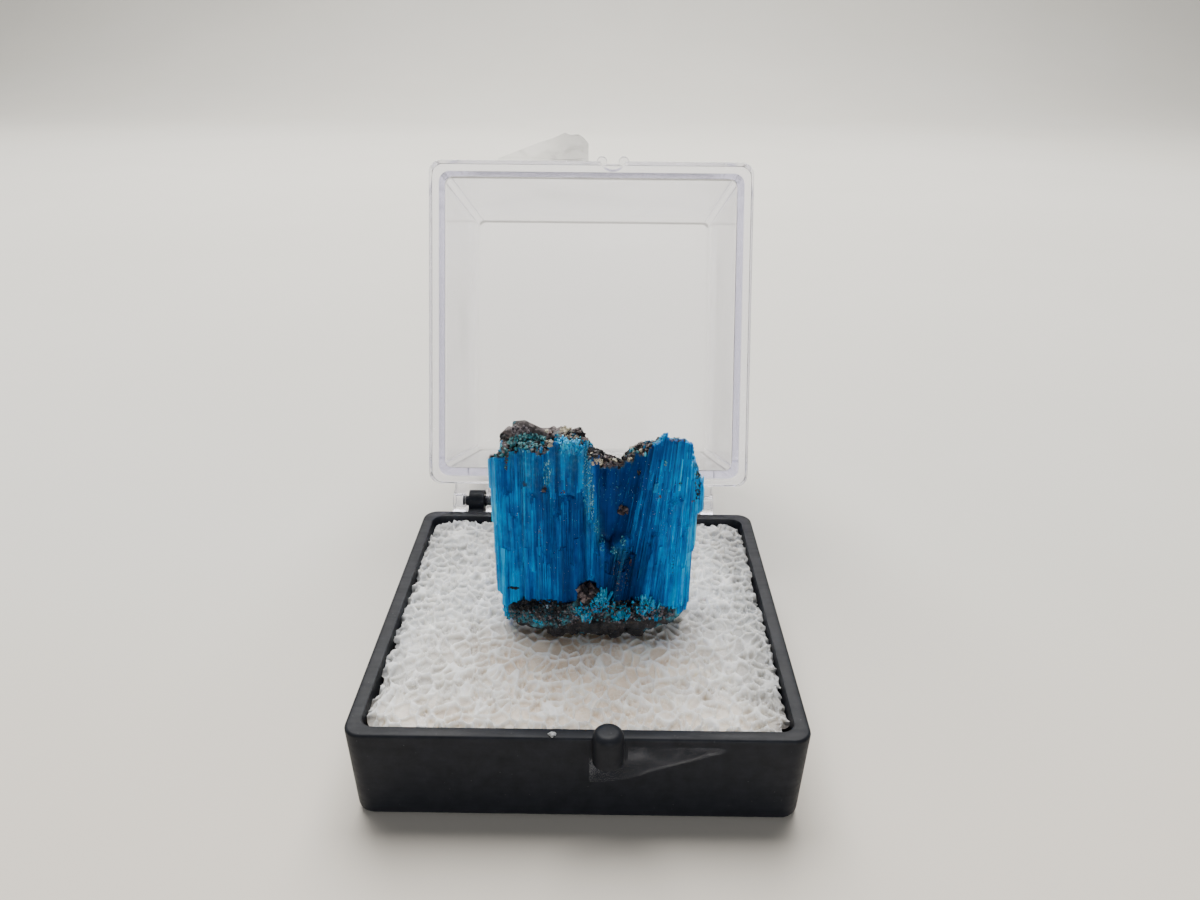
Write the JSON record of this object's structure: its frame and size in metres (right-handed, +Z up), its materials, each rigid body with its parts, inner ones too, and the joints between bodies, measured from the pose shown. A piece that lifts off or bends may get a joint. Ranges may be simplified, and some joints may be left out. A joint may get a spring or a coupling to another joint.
{
  "type": "chalcanthite specimen in a hinged display box",
  "caption": "Blue columnar chalcanthite crystals between dark rock seams, standing on a foam pad in a small black box with a clear hinged lid.",
  "frame": {"origin": "centre of the tray's underside", "axes": "+Z up; +Y from the latch at the front to the hinge at the back; +X to the right seen from the front"},
  "size_m": [0.0318, 0.0673, 0.0414],
  "materials": {
    "black_plastic": "semi-gloss black moulded polystyrene",
    "white_foam": "open-cell white packing foam",
    "clear_plastic": "clear moulded polystyrene with a faint lilac tint",
    "clear_tape": "clear creased adhesive tape",
    "chalcanthite_blue": "translucent vitreous blue crystal with upright fibres",
    "dark_rock": "rough dark wall rock with turquoise crust"
  },
  "bodies": {
    "base": {"base_tray": "black_plastic", "foam_pad": "white_foam", "chalcanthite": "chalcanthite_blue", "lower_matrix": "dark_rock", "upper_matrix": "dark_rock", "tape_on_base": "clear_tape"},
    "lid": {"lid": "clear_plastic", "tape_on_lid": "clear_tape"}
  },
  "joints": [
    {"name": "lid_hinge", "type": "hinge", "parent": "base", "child": "lid", "pos_m": [0, 0.01753, 0.00765], "axis": [1, 0, 0], "range_deg": [0, 110.7]}
  ]
}
